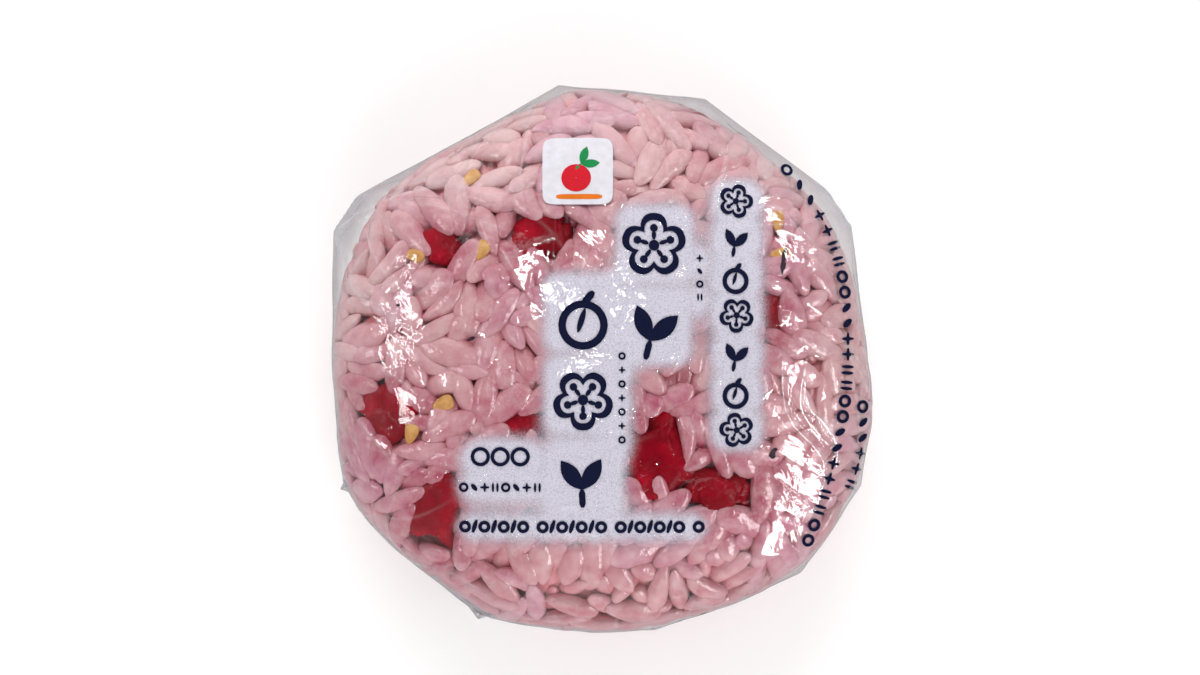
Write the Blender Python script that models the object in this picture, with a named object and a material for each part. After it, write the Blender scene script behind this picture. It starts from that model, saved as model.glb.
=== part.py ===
"""A round rice ball of pink mixed rice in a clear film wrapper, lying flat with its best side up.

The film is drawn tight, so the solid is the wrapper's outer form: the convex stretch of film over the rice
and over its own folded corners, with the rice grains standing up through it as bumps, the pleats of film
that turn under the rim, and the loose flaps where folds end.
Units are metres, +Z is up, and the origin is on the resting face, under the middle of the object's box.
"""

import math
import random

import bmesh
import bpy
from mathutils import Matrix, Vector
from mathutils.bvhtree import BVHTree

MM = 0.001
NAME = "wrapped_rice_ball"

# Rice body: a puck whose section is a superellipse, cut flat where it rests.
RICE_RADIUS = 37.0 * MM
HEIGHT = 30.0 * MM
CENTRE_HEIGHT = 13.8 * MM
RIM_POWER = 2.7
FACE_POWER = 2.9
GRAIN_RELIEF = 0.85 * MM
TURNS = 48
RINGS = 16

# Cooked rice grain: the size of one, how far it sinks in, and how closely grains lie.
GRAIN_LENGTH = 7.6 * MM
GRAIN_WIDTH = 3.3 * MM
GRAIN_THICKNESS = 2.9 * MM
GRAIN_VARIATION = 0.1
GRAIN_SPACING = 2.3 * MM
GRAIN_COUNT = 265
GRAIN_LOWEST = 7.0 * MM
GRAIN_SIDES = 6
GRAIN_RINGS = 4
TRIES = 60000
SEED = 11

# Film corners, in millimetres, where folds hold the wrapper off the rice: x, y and height.
FILM_CORNERS = [
    (-37.4, 18.0, 12.0),
    (-34.0, 22.6, 15.0),
    (-6.0, 38.2, 12.0),
    (14.5, 36.2, 13.0),
    (31.5, 23.6, 13.0),
    (34.9, 18.6, 12.0),
    (38.0, -8.5, 12.0),
    (36.4, -17.8, 10.0),
    (28.1, -30.1, 8.0),
    (7.5, -38.2, 8.0),
    (-17.6, -36.0, 5.5),
    (-36.4, -17.4, 8.0),
]

# Loose flaps of film at the ends of two folds, in millimetres: three corners seen from above.
FLAPS = [
    ((-17.8, -37.0), (-23.0, -28.5), (-9.5, -28.5)),
    ((-36.6, -20.3), (-37.7, -9.5), (-26.0, -14.0)),
]
FLAP_HEIGHT = 4.0 * MM
FLAP_THICKNESS = 0.9 * MM

# Pleats of film turned under the rim: long wedges that stand proud of the film where they turn under.
PLEAT_COUNT = 28
PLEAT_LENGTH = 7.0 * MM
PLEAT_WIDTH = 2.2 * MM
PLEAT_PROUD = 0.7 * MM
PLEAT_HEIGHT = 3.0 * MM
PLEAT_TOP_SHARE = 0.3
PLEAT_SKEW = math.radians(14)

FILM_COLOUR = (0.86, 0.66, 0.65, 1.0)
FILM_ROUGHNESS = 0.35


def clear_scene():
    for old in list(bpy.data.objects):
        bpy.data.objects.remove(old)


def new_collection(name):
    made = bpy.data.collections.new(name)
    bpy.context.scene.collection.children.link(made)
    return made


def object_from(bm, name, collection):
    mesh = bpy.data.meshes.new(name)
    bm.to_mesh(mesh)
    bm.free()
    made = bpy.data.objects.new(name, mesh)
    collection.objects.link(made)
    return made


def rice_body():
    """The rice under its top grains: a sphere's points, moved out to the superellipse and cut flat below."""
    bm = bmesh.new()
    bmesh.ops.create_uvsphere(bm, u_segments=TURNS, v_segments=RINGS, radius=1.0)
    radius = RICE_RADIUS - GRAIN_RELIEF
    half = HEIGHT - CENTRE_HEIGHT - GRAIN_RELIEF
    for vert in bm.verts:
        turn = math.atan2(vert.co.y, vert.co.x)
        out = radius * math.hypot(vert.co.x, vert.co.y) ** (2 / RIM_POWER)
        up = half * abs(vert.co.z) ** (2 / FACE_POWER)
        z = CENTRE_HEIGHT + math.copysign(up, vert.co.z)
        vert.co = (out * math.cos(turn), out * math.sin(turn), max(z, 0.0))
    return bm


def make_wrapper(collection):
    """The film's tight form: the convex hull of the rice body and the film corners."""
    bm = rice_body()
    bmesh.ops.delete(bm, geom=bm.edges, context="EDGES_FACES")
    for corner in FILM_CORNERS:
        bm.verts.new(Vector(corner) * MM)
    bmesh.ops.convex_hull(bm, input=bm.verts)
    inside = [vert for vert in bm.verts if not vert.link_faces]
    bmesh.ops.delete(bm, geom=inside, context="VERTS")
    bmesh.ops.recalc_face_normals(bm, faces=bm.faces)
    return object_from(bm, NAME, collection)


def grain_places(rng):
    """Places spread over the rice, no closer than a grain's width: (middle, along, out) for each grain."""
    body = rice_body()
    faces = [face for face in body.faces if face.calc_center_median().z > GRAIN_LOWEST]
    areas = [face.calc_area() for face in faces]
    reach = GRAIN_LENGTH / 3
    places = []
    taken = []
    for face in rng.choices(faces, areas, k=TRIES):
        shares = [rng.random() for _ in face.verts]
        middle = sum((v.co * s for v, s in zip(face.verts, shares)), Vector()) / sum(shares)
        out = face.normal.copy()
        along = out.orthogonal().normalized()
        along.rotate(Matrix.Rotation(rng.uniform(0, math.pi), 3, out))
        points = [middle + along * reach * step for step in (-1, 0, 1)]
        if all((a - b).length > GRAIN_SPACING for a in points for b in taken):
            places.append((middle, along, out))
            taken += points
        if len(places) == GRAIN_COUNT:
            break
    body.free()
    return places


def make_grain(place, rng, collection):
    """One grain, long along its place's direction, its back level with the rice's outer reach."""
    middle, along, out = place
    size = [s * rng.uniform(1 - GRAIN_VARIATION, 1 + GRAIN_VARIATION) / 2 for s in
            (GRAIN_WIDTH, GRAIN_THICKNESS, GRAIN_LENGTH)]
    bm = bmesh.new()
    bmesh.ops.create_uvsphere(bm, u_segments=GRAIN_SIDES, v_segments=GRAIN_RINGS, radius=1.0)
    bmesh.ops.scale(bm, vec=size, verts=bm.verts)
    turned = Matrix((out.cross(along), out, along)).transposed().to_4x4()
    sunk = middle + out * (GRAIN_RELIEF - size[1])
    bmesh.ops.transform(bm, matrix=Matrix.Translation(sunk) @ turned, verts=bm.verts)
    bmesh.ops.recalc_face_normals(bm, faces=bm.faces)
    return object_from(bm, "grain", collection)


def make_pleat(index, surface, collection):
    """One fold of film: a wedge laid along the film where it turns under, its wide end down."""
    turn = 2 * math.pi * index / PLEAT_COUNT
    inward = Vector((-math.cos(turn), -math.sin(turn), 0))
    start = Vector((0, 0, PLEAT_HEIGHT)) - inward * 2 * RICE_RADIUS
    middle, out, _, _ = surface.ray_cast(start, inward)
    upslope = (Vector((0, 0, 1)) - out * out.z).normalized()
    upslope.rotate(Matrix.Rotation(PLEAT_SKEW, 3, out))
    bm = bmesh.new()
    bmesh.ops.create_cone(bm, cap_ends=True, segments=4, radius1=0.5, radius2=PLEAT_TOP_SHARE / 2, depth=1.0)
    bmesh.ops.scale(bm, vec=(PLEAT_WIDTH, PLEAT_PROUD * 2, PLEAT_LENGTH), verts=bm.verts)
    turned = Matrix((out.cross(upslope), -out, upslope)).transposed().to_4x4()
    bmesh.ops.transform(bm, matrix=Matrix.Translation(middle) @ turned, verts=bm.verts)
    bmesh.ops.recalc_face_normals(bm, faces=bm.faces)
    return object_from(bm, "pleat", collection)


def make_flap(corners, collection):
    """One loose triangle of film: a flat outline, given its thickness, lying level under the rim."""
    bm = bmesh.new()
    outline = bm.faces.new([bm.verts.new((x * MM, y * MM, FLAP_HEIGHT)) for x, y in corners])
    raised = bmesh.ops.extrude_face_region(bm, geom=[outline])["geom"]
    lifted = [v for v in raised if isinstance(v, bmesh.types.BMVert)]
    bmesh.ops.translate(bm, vec=(0, 0, FLAP_THICKNESS), verts=lifted)
    bmesh.ops.recalc_face_normals(bm, faces=bm.faces)
    return object_from(bm, "flap", collection)


def join(target, collection):
    """Fuses everything in the collection to the target, then removes the collection's objects."""
    union = target.modifiers.new("fuse", "BOOLEAN")
    union.operation = "UNION"
    union.operand_type = "COLLECTION"
    union.collection = collection
    union.solver = "MANIFOLD"
    bpy.context.view_layer.objects.active = target
    bpy.ops.object.modifier_apply(modifier=union.name)
    for piece in list(collection.objects):
        bpy.data.objects.remove(piece)
    bpy.data.collections.remove(collection)


def film_material():
    made = bpy.data.materials.new("film_over_rice")
    made.use_nodes = True
    shader = made.node_tree.nodes["Principled BSDF"]
    shader.inputs["Base Color"].default_value = FILM_COLOUR
    shader.inputs["Roughness"].default_value = FILM_ROUGHNESS
    shader.inputs["Metallic"].default_value = 0.0
    return made


def centre_on_origin(target):
    """Moves the mesh so that the middle of its box is over the origin."""
    xs = [v.co.x for v in target.data.vertices]
    ys = [v.co.y for v in target.data.vertices]
    shift = Vector((-(min(xs) + max(xs)) / 2, -(min(ys) + max(ys)) / 2, 0))
    target.data.transform(Matrix.Translation(shift))


def main():
    clear_scene()
    rng = random.Random(SEED)
    model = new_collection("rice_ball")
    relief = new_collection("relief")
    wrapper = make_wrapper(model)
    for place in grain_places(rng):
        make_grain(place, rng, relief)
    surface = BVHTree.FromPolygons(
        [v.co for v in wrapper.data.vertices], [f.vertices for f in wrapper.data.polygons]
    )
    for index in range(PLEAT_COUNT):
        make_pleat(index, surface, relief)
    for corners in FLAPS:
        make_flap(corners, relief)
    join(wrapper, relief)
    centre_on_origin(wrapper)
    wrapper.data.materials.clear()
    wrapper.data.materials.append(film_material())
    wrapper.data.set_sharp_from_angle(angle=math.radians(40))


main()
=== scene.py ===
import math

import bmesh
import bpy
import numpy as np
from mathutils import Matrix, Vector


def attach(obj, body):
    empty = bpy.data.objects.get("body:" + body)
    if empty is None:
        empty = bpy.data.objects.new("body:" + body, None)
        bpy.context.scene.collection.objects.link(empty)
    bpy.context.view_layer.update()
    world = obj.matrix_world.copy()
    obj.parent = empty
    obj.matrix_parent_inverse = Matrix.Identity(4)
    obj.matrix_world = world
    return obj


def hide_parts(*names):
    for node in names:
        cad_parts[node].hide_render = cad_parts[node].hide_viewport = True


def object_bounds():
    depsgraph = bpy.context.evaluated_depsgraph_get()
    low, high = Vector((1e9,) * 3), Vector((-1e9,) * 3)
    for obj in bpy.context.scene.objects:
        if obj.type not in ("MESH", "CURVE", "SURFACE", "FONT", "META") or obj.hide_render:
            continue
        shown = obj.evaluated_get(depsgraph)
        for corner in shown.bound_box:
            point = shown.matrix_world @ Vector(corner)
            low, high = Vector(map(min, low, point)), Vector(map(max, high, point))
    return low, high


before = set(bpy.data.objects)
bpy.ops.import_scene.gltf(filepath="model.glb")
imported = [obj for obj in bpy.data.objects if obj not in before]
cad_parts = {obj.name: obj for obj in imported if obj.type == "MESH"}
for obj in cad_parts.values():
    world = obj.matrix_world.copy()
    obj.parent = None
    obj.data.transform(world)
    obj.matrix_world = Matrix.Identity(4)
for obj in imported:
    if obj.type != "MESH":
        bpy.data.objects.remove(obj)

mm = 0.001
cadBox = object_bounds()
rng = np.random.default_rng(7)

# The photograph's frame: its size and the object's middle in it in pixels, how many pixels a millimetre
# takes at the rim, how far off the camera is from there, and how high the rim is, in millimetres.
photo = {"width": 1200, "height": 675, "middleX": 602.5, "middleY": 359.0, "pixelsPerMm": 7.2,
         "cameraDistance": 450.0, "rimHeight": 14.0}

# The rice under the film, in millimetres, as the CAD solid has it.
riceForm = {"halfHeight": 16.2, "middleHeight": 13.8, "rimPower": 2.7, "facePower": 2.9, "floorGap": 0.7}
# How far out the rice's rim is, in millimetres, at turns in degrees from +X: it fills some film corners.
rimTurns = [-170, -154, -146, -131, -122, -114, -100, -84, -69, -55, -44, -27, -12, 0, 9, 31, 48, 80, 96, 108,
            122, 131, 145, 152, 165]
rimReach = [37.5, 39.9, 39.7, 38.6, 38.5, 39.2, 38.0, 38.0, 38.0, 39.2, 40.1, 39.4, 38.3, 36.9, 36.5, 37.0,
            36.4, 37.4, 37.6, 36.3, 36.1, 36.9, 38.2, 38.0, 37.8]


def report(words):
    print("rice ball:", words)


# Points in millimetres, one row each, and faces as a list of index arrays, one for each number of corners.
def newMesh(name, points, faces, material):
    mesh = bpy.data.meshes.new(name)
    mesh.vertices.add(len(points))
    mesh.vertices.foreach_set("co", (np.asarray(points) * mm).astype(np.float32).ravel())
    corners = np.concatenate([f.ravel() for f in faces])
    sizes = np.concatenate([np.full(len(f), f.shape[1]) for f in faces])
    starts = np.concatenate([[0], np.cumsum(sizes)[:-1]])
    mesh.loops.add(len(corners))
    mesh.loops.foreach_set("vertex_index", corners.astype(np.int32))
    mesh.polygons.add(len(sizes))
    mesh.polygons.foreach_set("loop_start", starts.astype(np.int32))
    mesh.polygons.foreach_set("loop_total", sizes.astype(np.int32))
    mesh.polygons.foreach_set("use_smooth", np.ones(len(sizes), dtype=bool))
    mesh.update(calc_edges=True)
    mesh.validate()
    mesh.materials.append(material)
    piece = bpy.data.objects.new(name, mesh)
    bpy.context.scene.collection.objects.link(piece)
    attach(piece, "root")
    return piece


# A value for each point, or a colour, which is given with three numbers and gets 1 for its alpha.
def setAttribute(piece, name, values):
    values = np.asarray(values, dtype=np.float32)
    if values.ndim == 2:
        values = np.concatenate([values, np.ones((len(values), 1), dtype=np.float32)], axis=1)
    kind, field = ("FLOAT_COLOR", "color") if values.ndim == 2 else ("FLOAT", "value")
    piece.data.attributes.new(name, kind, "POINT").data.foreach_set(field, values.ravel())


def unit(vectors):
    return vectors / (np.linalg.norm(vectors, axis=-1, keepdims=True) + 1e-12)


# Directions at angles down from +Z and round it: (sin fall cos turn, sin fall sin turn, cos fall).
def directionsAt(fall, turn):
    return np.stack([np.sin(fall) * np.cos(turn), np.sin(fall) * np.sin(turn), np.cos(fall) + 0 * turn],
                    axis=-1)


# The quads of a grid of point numbers, turned over where the grid is to face the other way.
def gridQuads(index, over=False):
    quads = np.stack([index[:-1, :-1], index[1:, :-1], index[1:, 1:], index[:-1, 1:]], axis=-1).reshape(-1, 4)
    return quads[:, [0, 3, 2, 1]] if over else quads


# How far out the rim is at each point's turn, less the inset.
def rimRadius(x, y, inset):
    return np.interp(np.degrees(np.arctan2(y, x)), rimTurns, rimReach, period=360) - inset


# The form: (distance from the axis / a)^p + (height from the middle / h)^q = 1, with a and h less the inset.
# Which way is out at each point, and how far beyond the inset form it lies, near enough, in millimetres.
def formLevel(points, inset):
    a, h = rimRadius(points[..., 0], points[..., 1], inset), riceForm["halfHeight"] - inset
    p, q = riceForm["rimPower"], riceForm["facePower"]
    z = points[..., 2] - riceForm["middleHeight"]
    rho = np.hypot(points[..., 0], points[..., 1]) + 1e-9
    level = (rho / a) ** p + (np.abs(z) / h) ** q
    slopeOut = p * (rho / a) ** (p - 1) / a
    slopeUp = q * (np.abs(z) / h) ** (q - 1) / h * np.sign(z)
    slope = np.stack([points[..., 0] / rho * slopeOut, points[..., 1] / rho * slopeOut, slopeUp], axis=-1)
    steep = np.linalg.norm(slope, axis=-1)
    return slope / (steep + 1e-9)[..., None], (level - 1) / np.maximum(steep, 0.02)


# How far the inset form reaches from its middle along each direction: halving the interval 24 times.
def formReach(directions, inset):
    low = np.zeros(directions.shape[:-1])
    high = np.full(directions.shape[:-1], 60.0)
    a, h = rimRadius(directions[..., 0], directions[..., 1], inset), riceForm["halfHeight"] - inset
    for _ in range(24):
        half = (low + high) / 2
        point = directions * half[..., None]
        level = ((np.hypot(point[..., 0], point[..., 1]) / a) ** riceForm["rimPower"]
                 + (np.abs(point[..., 2]) / h) ** riceForm["facePower"])
        low, high = np.where(level < 1, half, low), np.where(level < 1, high, half)
    return low


# Where the ray through a pixel of the photograph meets a height, in millimetres.
def pixelPoint(px, py, height):
    focal = photo["pixelsPerMm"] * photo["cameraDistance"]
    eyeX = (photo["width"] / 2 - photo["middleX"]) / photo["pixelsPerMm"]
    eyeY = (photo["middleY"] - photo["height"] / 2) / photo["pixelsPerMm"]
    depth = photo["cameraDistance"] + photo["rimHeight"] - height
    x = eyeX + (px - photo["width"] / 2) / focal * depth
    y = eyeY - (py - photo["height"] / 2) / focal * depth
    return np.array([x, y, height + 0 * x])


# The point of the inset form that a pixel shows: the height is stepped towards the form's own there.
def pixelOnForm(px, py, inset):
    h = riceForm["halfHeight"] - inset
    height = riceForm["middleHeight"] + h
    for _ in range(40):
        x, y, _ = pixelPoint(px, py, height)
        rest = max(0.0, 1 - (math.hypot(x, y) / rimRadius(x, y, inset)) ** riceForm["rimPower"])
        height += (riceForm["middleHeight"] + h * rest ** (1 / riceForm["facePower"]) - height) * 0.6
    return pixelPoint(px, py, height)


# Two directions along the form at a point, turned by so many degrees, and the way out.
def axesAt(point, turn):
    out = formLevel(point, 0.0)[0]
    side = unit(np.array([1.0, 0, 0]) - out * out[0])
    along = np.cross(out, side)
    c, s = math.cos(math.radians(turn)), math.sin(math.radians(turn))
    return side * c + along * s, along * c - side * s, out


# Pickled fruit: pixel of the middle, sizes along, across and deep in millimetres, turn in degrees, and how
# far its top lies under the form.
fruitPieces = [
    (441, 245, 4.8, 5.0, 3.6, 20, 0.5), (542, 234, 8.4, 6.2, 4.6, 10, 0.25),
    (384, 416, 7.4, 8.0, 5.0, 60, 0.3), (433, 517, 6.8, 10.4, 5.0, -12, 0.25),
    (523, 427, 6.4, 3.8, 3.6, 5, 0.6), (655, 452, 8.0, 9.6, 5.6, 15, 0.2),
    (720, 492, 10.4, 5.8, 4.6, -8, 0.35), (770, 310, 4.4, 5.6, 3.6, 0, 0.8),
]
fruitLook = {"rings": 22, "sides": 30, "lump": 0.16, "lumpSize": 6.0, "wrinkle": 0.05, "wrinkleSize": 1.6,
             "box": 0.62, "bright": (0.50, 0.003, 0.022), "dark": (0.24, 0.002, 0.009), "patchSize": 5.0}
# Sesame seeds: pixel of the middle and turn in degrees. Leaf flecks: pixel, turn, length in millimetres, and
# how wide they are for it.
seedPlaces = [(469, 177, 35), (413, 254, -10), (481, 250, 60), (442, 404, 20), (410, 434, 75), (779, 220, 88),
              (782, 254, 4)]
seedLook = {"length": 3.1, "width": 1.9, "thickness": 0.95, "taper": 0.42, "endPower": 0.7, "rings": 9,
            "sides": 12, "under": 0.25}
fleckPlaces = [(471, 339, 20, 1.2, 0.5), (774, 454, 70, 1.3, 0.7), (784, 261, 82, 4.6, 0.15),
               (527, 512, 30, 1.8, 0.4), (398, 305, 10, 0.6, 0.5)]
fleckLook = {"cells": 6, "thickness": 0.12, "under": 0.14, "ragged": 0.2, "wave": 0.04, "waveSize": 1.6}
# Seeds, flecks and fruit that the photograph doesn't show, on the sides and below, so that the back isn't
# bare: how many, how high at most, and the sizes of the fruit and the flecks.
hiddenBits = {"seeds": 9, "flecks": 9, "fruit": 5, "highest": 17.0, "fruitHalves": (3.4, 2.6, 2.2),
              "fruitSunk": 2.6, "fleck": (1.5, 0.6)}


# Points of the form below a height, spread by the golden angle, as middles on its surface.
def spreadPlaces(count, highest, seed):
    turn = (np.arange(count) + seed * 0.37) * math.pi * (3 - math.sqrt(5))
    share = (np.arange(count) * 0.618 + seed * 0.21) % 1
    height = riceForm["floorGap"] + (highest - riceForm["floorGap"]) * share
    rise = (height - riceForm["middleHeight"]) / riceForm["halfHeight"]
    narrow = (1 - np.abs(rise).clip(0, 0.86) ** riceForm["facePower"]) ** (1 / riceForm["rimPower"])
    rho = rimRadius(np.cos(turn), np.sin(turn), 0.0) * narrow
    return np.stack([rho * np.cos(turn), rho * np.sin(turn), height], axis=1)


# Every piece of fruit: its middle, its three axes and its three half sizes.
def fruitList():
    pieces = []
    for px, py, along, across, deep, turn, under in fruitPieces:
        top = pixelOnForm(px, py, under)
        ex, ey, out = axesAt(top, turn)
        pieces.append((top - out * deep / 2, (ex, ey, out), (along / 2, across / 2, deep / 2)))
    for index, place in enumerate(spreadPlaces(hiddenBits["fruit"], hiddenBits["highest"], 3)):
        ex, ey, out = axesAt(place, index * 50)
        pieces.append((place - out * hiddenBits["fruitSunk"], (ex, ey, out), hiddenBits["fruitHalves"]))
    return pieces


# Packing: grains are rods of five balls, thinner to the ends, that push each other apart inside the form.
# They lie no deeper than the shell, each step presses them outward, and one that lies wholly below the
# deepest is left out. Balls of their own keep the fruit clear.
packing = {"grains": 1390, "offsets": (-3.2, -1.65, 0.0, 1.65, 3.2), "balls": (0.72, 1.22, 1.42, 1.22, 0.72),
           "shell": 7.4, "steps": 150, "refresh": 10, "press": 0.012, "margin": 0.5, "slab": 7.0,
           "flatten": 0.62, "deepest": 4.6, "fruitBall": 0.86, "fruitStep": 1.5, "fruitReach": 0.62}


# Fixed balls that fill each piece of fruit, so that the grains keep out of it.
def fruitBalls(pieces):
    balls, sizes = [], []
    for middle, axes, half in pieces:
        ball = min(half) * packing["fruitBall"]
        counts = [max(2, int(round((w - ball) * 2 / packing["fruitStep"])) + 1) for w in half[:2]]
        steps = [np.linspace(-1, 1, count) * (w - ball) for w, count in zip(half, counts)]
        u, v = [grid.ravel() for grid in np.meshgrid(*steps)]
        keep = (u / half[0]) ** 2 + (v / half[1]) ** 2 < packing["fruitReach"]
        balls.append(middle + u[keep, None] * axes[0] + v[keep, None] * axes[1])
        sizes.append(np.full(keep.sum(), ball))
    return np.concatenate(balls), np.concatenate(sizes)


# Pairs of balls of different grains that nearly touch, looked for in slabs across X.
def nearPairs(places, sizes, grainOf, moving):
    order = np.argsort(places[:, 0])
    sortedX = places[order, 0]
    reach = 2 * sizes.max() + packing["margin"]
    firsts, seconds = [], []
    for low in np.arange(sortedX[0], sortedX[-1], packing["slab"]):
        a, b, c = np.searchsorted(sortedX, [low, low + packing["slab"], low + packing["slab"] + reach])
        here, there = order[a:b], order[a:c]
        near = places[here].astype(np.float32), places[there].astype(np.float32)
        square = [np.sum(part * part, axis=1) for part in near]
        apart = square[0][:, None] + square[1][None, :] - 2 * near[0] @ near[1].T
        touching = apart < (sizes[here][:, None] + sizes[there][None, :] + packing["margin"]) ** 2
        i, j = np.nonzero(touching)
        keep = j > i
        firsts.append(here[i[keep]])
        seconds.append(there[j[keep]])
    first, second = np.concatenate(firsts), np.concatenate(seconds)
    swap = first > second
    first, second = np.where(swap, second, first), np.where(swap, first, second)
    keep = (grainOf[first] != grainOf[second]) & (first < moving)
    return first[keep], second[keep]


# Middles and directions of the grains: balls that overlap are moved apart by half their overlap each.
def packGrains(fixed, fixedSize):
    count, offsets, balls = packing["grains"], np.array(packing["offsets"]), np.array(packing["balls"])
    thick = balls.max()
    a, h = max(rimReach) - thick, riceForm["halfHeight"] - thick
    tries = rng.uniform(-1, 1, (count * 8, 3)) * [a, a, h] + [0, 0, riceForm["middleHeight"]]
    inside = (formLevel(tries, thick)[1] < 0) & (formLevel(tries, packing["shell"])[1] > 0)
    inside &= tries[:, 2] > riceForm["floorGap"] + thick
    middles = tries[inside][:count]
    count = len(middles)
    heading = rng.normal(size=(count, 3))
    out = formLevel(middles, 0.0)[0]
    heading = unit(heading - out * (np.sum(heading * out, axis=1) * packing["flatten"])[:, None])
    moving = count * len(balls)
    size = np.concatenate([np.repeat(balls, count), fixedSize])
    grainOf = np.concatenate([np.tile(np.arange(count), len(balls)), np.full(len(fixed), -1)])
    lever = (offsets / np.sum(offsets ** 2))[:, None, None]
    for step in range(packing["steps"]):
        places = (middles[None] + heading[None] * offsets[:, None, None]).reshape(-1, 3)
        every = np.concatenate([places, fixed])
        if step % packing["refresh"] == 0:
            first, second = nearPairs(every, size, grainOf, moving)
        gap = every[first] - every[second]
        dist = np.linalg.norm(gap, axis=1) + 1e-6
        overlap = np.maximum(size[first] + size[second] - dist, 0)
        push = gap / dist[:, None] * overlap[:, None] * np.where(second < moving, 0.5, 1.0)[:, None]
        hits = (np.bincount(first, overlap > 0, len(every)) + np.bincount(second, overlap > 0, len(every)))
        move = np.stack([np.bincount(first, push[:, k], len(every))
                         - np.bincount(second, push[:, k], len(every)) for k in range(3)], axis=1)
        moved = places + (move / np.maximum(hits * 0.45, 1)[:, None])[:moving]
        radii = size[:moving]
        out, beyond = formLevel(moved, 0.0)
        moved -= out * np.maximum(beyond + radii, 0)[:, None]
        moved -= out * np.minimum(beyond + packing["shell"], 0)[:, None]
        moved += out * packing["press"]
        moved[:, 2] = np.maximum(moved[:, 2], riceForm["floorGap"] + radii)
        moved = moved.reshape(len(balls), count, 3)
        weight = balls / balls.sum()
        middles = np.sum(moved * weight[:, None, None], axis=0)
        heading = unit(np.sum(moved * lever, axis=0))
    left = overlap[overlap > 0]
    report(f"packed {count} grains, overlap {left.mean():.2f} mm on average, {left.max():.2f} mm at most")
    shown = formLevel(moved, 0.0)[1].max(axis=0) > -packing["deepest"]
    report(f"{shown.sum()} of them lie where they can be seen")
    return middles[shown], heading[shown]


# A cooked grain: length, width and thickness in millimetres, their spread, bend and groove, rings and sides.
grainLook = {"length": 8.7, "width": 3.5, "thickness": 3.05, "spread": 0.13, "bend": 0.45, "groove": 0.09,
             "taper": 0.26, "endPower": 1.02, "endSpread": 0.16, "rings": 9, "sides": 10, "pressGap": 0.1,
             "pressSoft": 0.42}


# A grain at u along it and angle v round it: x = -L/2 cos(pi u), and y and z are half its width and thickness
# times sin(pi u)^e, fuller to one end, with a groove, lumps and a bend of b (1 - (2x/L)^2). Whatever stands
# beyond the film is pressed back to it, so that a grain's outer face is flat there.
def grainPoints(middles, heading):
    g, count = grainLook, len(middles)
    length, width, thick = [g[name] * rng.normal(1, g["spread"], (count, 1, 1)).clip(0.78, 1.18)
                            for name in ("length", "width", "thickness")]
    u = np.concatenate([[0.0], np.linspace(0, 1, g["rings"] + 2)[1:-1], [1.0]])[None, :, None]
    v = np.linspace(0, 2 * np.pi, g["sides"], endpoint=False)[None, None, :]
    taper = rng.uniform(-g["taper"], g["taper"], (count, 1, 1))
    phase = rng.uniform(0, 2 * np.pi, (5, count, 1, 1))
    blunt = rng.normal(g["endPower"], g["endSpread"], (count, 1, 1)).clip(0.8, 1.35)
    profile = np.sin(np.pi * u).clip(0, 1) ** blunt * (1 + taper * np.cos(np.pi * u))
    profile = profile * (1 + 0.06 * np.sin(3 * np.pi * u + phase[0]) + 0.07 * np.sin(2 * v + phase[1])
                         + 0.05 * np.sin(3 * v + 2 * np.pi * u + phase[4]))
    profile = profile * (1 - g["groove"] * np.exp((np.cos(v - phase[2]) - 1) / 0.12) * np.sin(np.pi * u))
    bend = rng.normal(0, g["bend"], (count, 1, 1)).clip(-0.9, 0.9) * (np.sin(np.pi * u) ** 2 - 0.5)
    x = np.broadcast_to(-length / 2 * np.cos(np.pi * u), profile.shape)
    y = width / 2 * profile * np.cos(v) + bend * np.cos(phase[3])
    z = thick / 2 * profile * np.sin(v) + bend * np.sin(phase[3]) * 0.6
    out = formLevel(middles, 0.0)[0]
    side = unit(np.cross(out, heading))
    up = np.cross(heading, side)
    points = middles[:, None, None]
    for part, way in ((x, heading), (y, side), (z, up)):
        points = points + part[..., None] * way[:, None, None]
    return points.reshape(count, -1, 3)


# Moves points back along the way out, by a soft limit, so that none is closer to the film than the gap.
def pressUnderFilm(points):
    gap, soft = grainLook["pressGap"], grainLook["pressSoft"]
    out, beyond = formLevel(points, 0.0)
    aim = -gap - soft * np.logaddexp(0, -(beyond + gap) / soft)
    points = points + out * np.where(beyond > -3, aim - beyond, 0)[..., None]
    low = riceForm["floorGap"]
    points[..., 2] = low + 0.2 * np.logaddexp(0, (points[..., 2] - low) / 0.2)
    return points


# Faces of a closed form whose first and last rings have shrunk to a point each: quads, then end triangles.
def ringFaces(rings, sides):
    ring = np.arange(1, rings - 2)[:, None] * sides
    j = np.arange(sides)
    k = (j + 1) % sides
    quads = np.stack([ring + j, ring + k, ring + sides + k, ring + sides + j], axis=-1).reshape(-1, 4)
    last = (rings - 2) * sides
    firstEnd = np.stack([np.zeros(sides, dtype=int), sides + k, sides + j], axis=-1)
    lastEnd = np.stack([np.full(sides, last + sides), last + j, last + k], axis=-1)
    return quads, np.concatenate([firstEnd, lastEnd])


# Joins many closed forms, each of rings times sides points, with one point kept of each end ring.
def closedForms(points, rings, sides):
    count = len(points)
    quads, ends = ringFaces(rings, sides)
    keep = np.ones(rings * sides, dtype=bool)
    keep[1:sides] = False
    keep[(rings - 1) * sides + 1:] = False
    renumber = np.cumsum(keep) - 1
    shift = (np.arange(count) * keep.sum())[:, None, None]
    return (points[:, keep].reshape(-1, 3), [(renumber[quads][None] + shift).reshape(-1, 4),
                                             (renumber[ends][None] + shift).reshape(-1, 3)])


# Smooth noise near -1 to 1: the mean of plane waves of about that size, each in its own direction.
def lumps(points, size, seed, waves=14):
    draw = np.random.default_rng(seed)
    ways = unit(draw.normal(size=(waves, 3))) * (2 * np.pi / size * draw.uniform(0.7, 1.4, (waves, 1)))
    phase = draw.uniform(0, 2 * np.pi, waves)
    return np.sin(points @ ways.T + phase).sum(axis=-1) / math.sqrt(waves / 2)


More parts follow.
